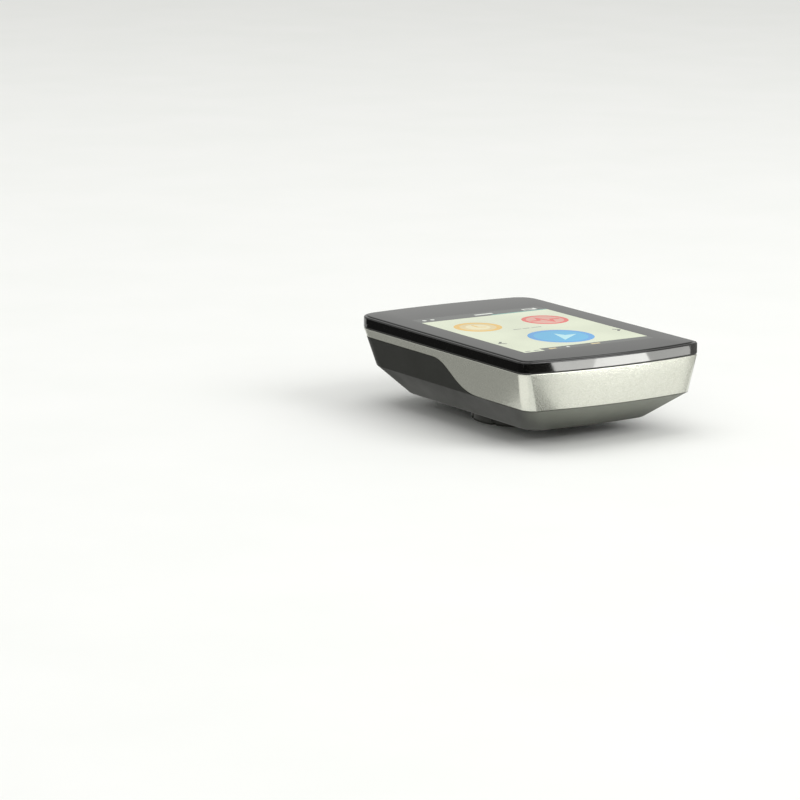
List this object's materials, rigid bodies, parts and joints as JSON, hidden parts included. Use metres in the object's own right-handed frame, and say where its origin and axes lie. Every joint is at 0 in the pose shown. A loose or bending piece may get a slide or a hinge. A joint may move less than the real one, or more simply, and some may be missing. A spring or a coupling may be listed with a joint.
{
  "type": "cycling computer",
  "caption": "Slim touch-screen cycling computer head unit with a silver nose band, end and side push buttons, a hinged port cap and a quarter-turn bayonet boss underneath.",
  "frame": {"origin": "on the axis of the quarter-turn boss, at its lowest face, which is the middle of the underside", "axes": "+Z out of the screen, -Y towards the nose that points forwards on the bicycle, +Y towards the rider, +X to the rider's left"},
  "size_m": [0.049, 0.073, 0.021],
  "materials": {
    "case_plastic": "fine matte moulded texture, charcoal with an olive cast",
    "inner_plastic": "plain moulded, unpainted",
    "silver_paint": "satin silver metallic paint on a moulded band",
    "black_gloss": "polished piano black",
    "glass": "polished, printed black round the display",
    "sensor_glass": "clear",
    "screen": "lit colour display",
    "diffuser": "white diffuser film",
    "steel": "stamped stainless sheet",
    "flex_film": "amber polyimide",
    "connector_plastic": "ivory nylon",
    "brass": "turned and knurled",
    "screw_steel": "black oxide",
    "circuit_board": "green solder mask",
    "tin_plate": "bright tin plate",
    "chip_epoxy": "moulded black epoxy",
    "gold_plate": "gold flash on spring bronze",
    "battery_foil": "laminated foil pouch",
    "foam": "closed-cell foam tape",
    "rubber": "moulded silicone",
    "wire_red": "silicone insulation",
    "membrane": "breathable membrane",
    "button_plastic": "fine matte moulded texture",
    "plunger_plastic": "moulded nylon"
  },
  "bodies": {
    "case": {"antenna_clips": "gold_plate", "backlight": "diffuser", "battery": "battery_foil", "battery_connector": "connector_plastic", "battery_leads": "wire_red", "battery_pad": "foam", "buzzer": "chip_epoxy", "case_screws": "screw_steel", "chassis": "inner_plastic", "cover_glass": "glass", "display_connector": "connector_plastic", "display_flex": "flex_film", "display_tray": "steel", "front_bezel": "black_gloss", "glass_adhesive": "foam", "gnss_antenna": "inner_plastic", "gnss_receiver": "chip_epoxy", "housing_seal": "rubber", "lap_switch": "chip_epoxy", "lcd_panel": "screen", "light_sensor": "chip_epoxy", "main_board": "circuit_board", "power_switch": "chip_epoxy", "processor": "chip_epoxy", "processor_shield": "tin_plate", "quarter_turn_boss": "case_plastic", "radio_module": "chip_epoxy", "radio_shield": "tin_plate", "rear_housing": "case_plastic", "start_switch": "chip_epoxy", "threaded_inserts": "brass", "touch_connector": "connector_plastic", "touch_flex": "flex_film", "touch_sensor": "sensor_glass", "trim_band": "silver_paint", "usb_board": "circuit_board", "usb_cap_strap": "rubber", "usb_flex": "flex_film", "usb_gasket": "rubber", "usb_port": "steel", "vent_membrane": "membrane"},
    "lap_key": {"lap_button": "button_plastic", "lap_button_seal": "rubber", "lap_switch_plunger": "plunger_plastic"},
    "start_key": {"start_button": "button_plastic", "start_button_seal": "rubber", "start_switch_plunger": "plunger_plastic"},
    "power_key": {"power_button": "button_plastic", "power_button_seal": "rubber", "power_switch_plunger": "plunger_plastic"},
    "port_cap": {"usb_cap": "rubber"}
  },
  "joints": [
    {"name": "lap_press", "type": "slide", "parent": "case", "child": "lap_key", "axis": [0, -1, 0], "range_m": [0, 0.0004], "stiffness_N_per_m": 4000, "springref_m": -0.0001},
    {"name": "start_press", "type": "slide", "parent": "case", "child": "start_key", "axis": [0, -1, 0], "range_m": [0, 0.0004], "stiffness_N_per_m": 4000, "springref_m": -0.0001},
    {"name": "power_press", "type": "slide", "parent": "case", "child": "power_key", "axis": [-1, 0, 0], "range_m": [0, 0.0004], "stiffness_N_per_m": 4000, "springref_m": -0.0001},
    {"name": "port_cap_hinge", "type": "hinge", "parent": "case", "child": "port_cap", "pos_m": [0, 0.03025, 0.00535], "axis": [-1, 0, 0], "range_deg": [0, 120], "stiffness_Nm_per_rad": 0.0005}
  ]
}
